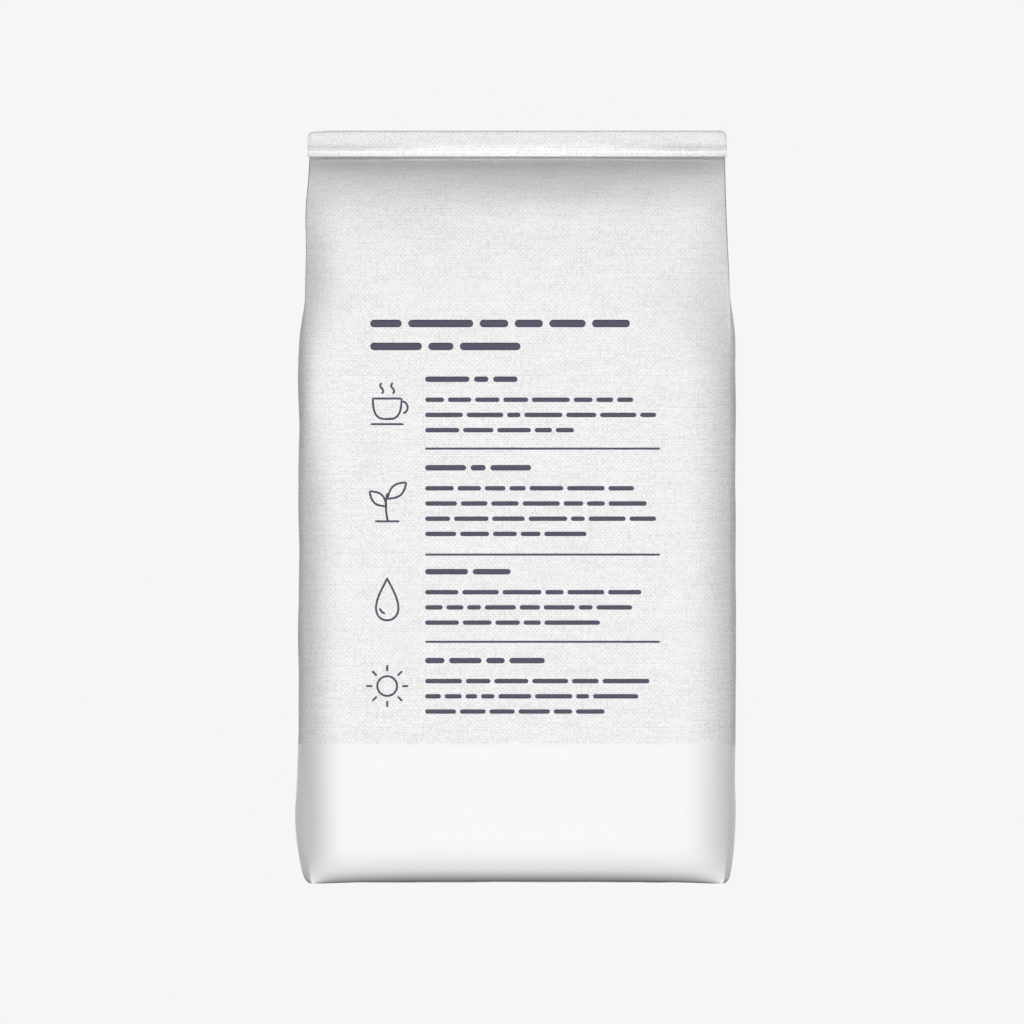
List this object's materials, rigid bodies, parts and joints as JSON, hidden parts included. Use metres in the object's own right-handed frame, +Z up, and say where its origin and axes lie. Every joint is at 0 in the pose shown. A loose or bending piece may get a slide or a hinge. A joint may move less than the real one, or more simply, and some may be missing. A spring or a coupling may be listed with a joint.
{
  "type": "coffee bag",
  "caption": "Filled side-gusset bag of white linen-textured film, standing upright, with its top folded forward and down.",
  "frame": {"origin": "middle of the base, on the surface that the bag stands on", "axes": "+Z up towards the folded top, -Y out of the printed front panel, +X towards its right-hand gusset"},
  "size_m": [0.1284, 0.067, 0.2202],
  "materials": {
    "film": "matte white laminated film with a fine linen weave, plain and satin over the lowest 41 mm",
    "ink": "dusty purple-grey print on the film"
  },
  "bodies": {
    "root": {"bag": "film"}
  },
  "joints": []
}
